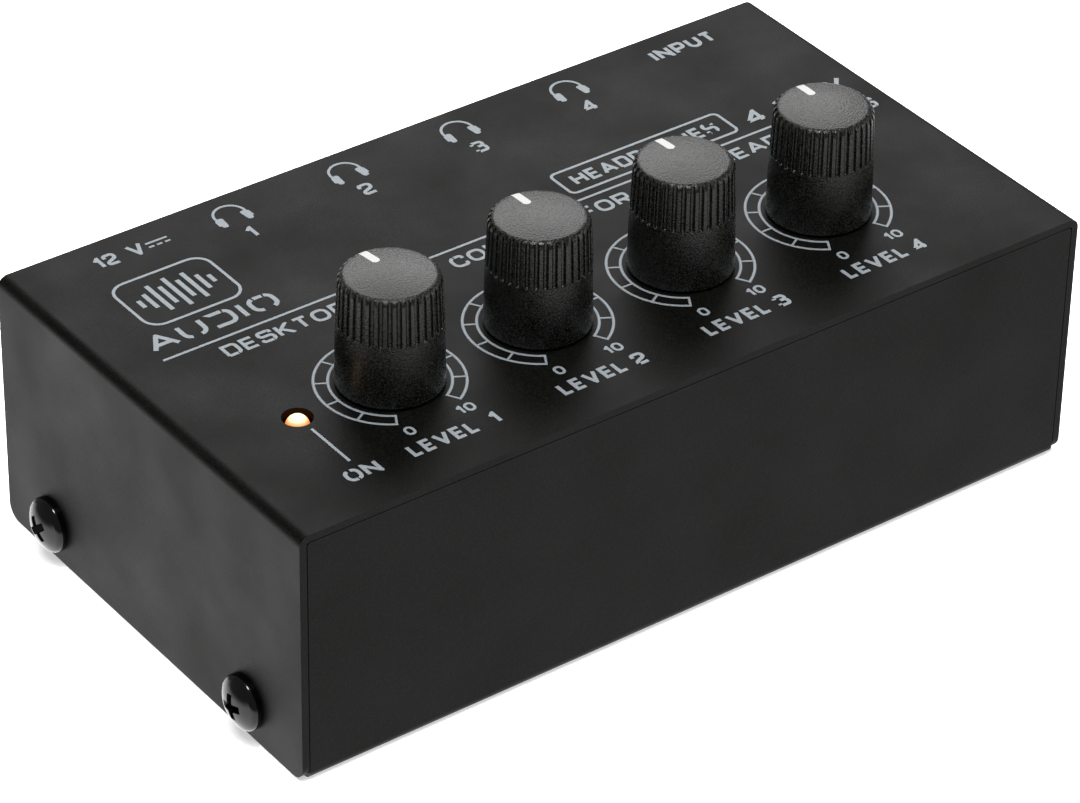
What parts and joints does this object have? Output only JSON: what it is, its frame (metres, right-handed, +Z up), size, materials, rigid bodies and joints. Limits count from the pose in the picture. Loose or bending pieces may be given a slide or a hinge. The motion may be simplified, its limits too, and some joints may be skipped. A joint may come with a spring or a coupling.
{
  "type": "headphone amplifier",
  "caption": "Desktop headphone amplifier: a folded steel case with a row of turning level knobs and a power light on top, and jack sockets and a power inlet in the rear wall.",
  "frame": {"origin": "middle of the underside, on the surface that the case stands on", "axes": "+X along the case to the right, +Y to the rear wall with the sockets, +Z up through the top panel"},
  "size_m": [0.1216, 0.0674, 0.0512],
  "materials": {
    "case_paint": "fine-textured matt black powder coat",
    "screw_black": "glossy black zinc",
    "knob_plastic": "fine sparkling grain, moulded",
    "pointer_white": "satin white inlay",
    "socket_black": "moulded satin black",
    "board_green": "solder-masked glass epoxy",
    "contact_metal": "tinned spring metal",
    "pot_metal": "zinc die casting",
    "shaft_metal": "turned",
    "nut_steel": "bright zinc",
    "wafer_brown": "phenolic laminate",
    "led_amber": "clear diffused epoxy, lit amber",
    "chip_black": "moulded epoxy",
    "capacitor_sleeve": "shrink sleeve on an aluminium can"
  },
  "bodies": {
    "case": {"top_cover": "case_paint", "base_chassis": "case_paint", "case_screws": "screw_black", "circuit_board": "board_green", "pot_housing_1": "pot_metal", "pot_housing_2": "pot_metal", "pot_housing_3": "pot_metal", "pot_housing_4": "pot_metal", "pot_wafer_1": "wafer_brown", "pot_wafer_2": "wafer_brown", "pot_wafer_3": "wafer_brown", "pot_wafer_4": "wafer_brown", "pot_terminals": "contact_metal", "pot_washers": "nut_steel", "pot_nuts": "nut_steel", "headphone_jack_1": "socket_black", "headphone_jack_2": "socket_black", "headphone_jack_3": "socket_black", "headphone_jack_4": "socket_black", "input_jack": "socket_black", "headphone_jack_contacts_1": "contact_metal", "headphone_jack_contacts_2": "contact_metal", "headphone_jack_contacts_3": "contact_metal", "headphone_jack_contacts_4": "contact_metal", "input_jack_contacts": "contact_metal", "jack_nuts": "socket_black", "dc_jack": "socket_black", "dc_jack_pin": "contact_metal", "dc_jack_spring": "contact_metal", "led_lens": "led_amber", "led_legs": "contact_metal", "led_spacer": "socket_black", "amplifier_chips": "chip_black", "output_capacitors": "capacitor_sleeve", "supply_capacitor": "capacitor_sleeve", "chip_resistors": "chip_black"},
    "level_control_1": {"knob_1": "knob_plastic", "knob_pointer_1": "pointer_white", "pot_shaft_1": "shaft_metal"},
    "level_control_2": {"knob_2": "knob_plastic", "knob_pointer_2": "pointer_white", "pot_shaft_2": "shaft_metal"},
    "level_control_3": {"knob_3": "knob_plastic", "knob_pointer_3": "pointer_white", "pot_shaft_3": "shaft_metal"},
    "level_control_4": {"knob_4": "knob_plastic", "knob_pointer_4": "pointer_white", "pot_shaft_4": "shaft_metal"}
  },
  "joints": [
    {"name": "level_turn_1", "type": "hinge", "parent": "case", "child": "level_control_1", "pos_m": [-0.032, -0.01265, 0.0357], "axis": [0, 0, 1], "range_deg": [-150, 150]},
    {"name": "level_turn_2", "type": "hinge", "parent": "case", "child": "level_control_2", "pos_m": [-0.01033, -0.01265, 0.0357], "axis": [0, 0, 1], "range_deg": [-145.5, 154.5]},
    {"name": "level_turn_3", "type": "hinge", "parent": "case", "child": "level_control_3", "pos_m": [0.01133, -0.01265, 0.0357], "axis": [0, 0, 1], "range_deg": [-147, 153]},
    {"name": "level_turn_4", "type": "hinge", "parent": "case", "child": "level_control_4", "pos_m": [0.033, -0.01265, 0.0357], "axis": [0, 0, 1], "range_deg": [-143.5, 156.5]}
  ]
}
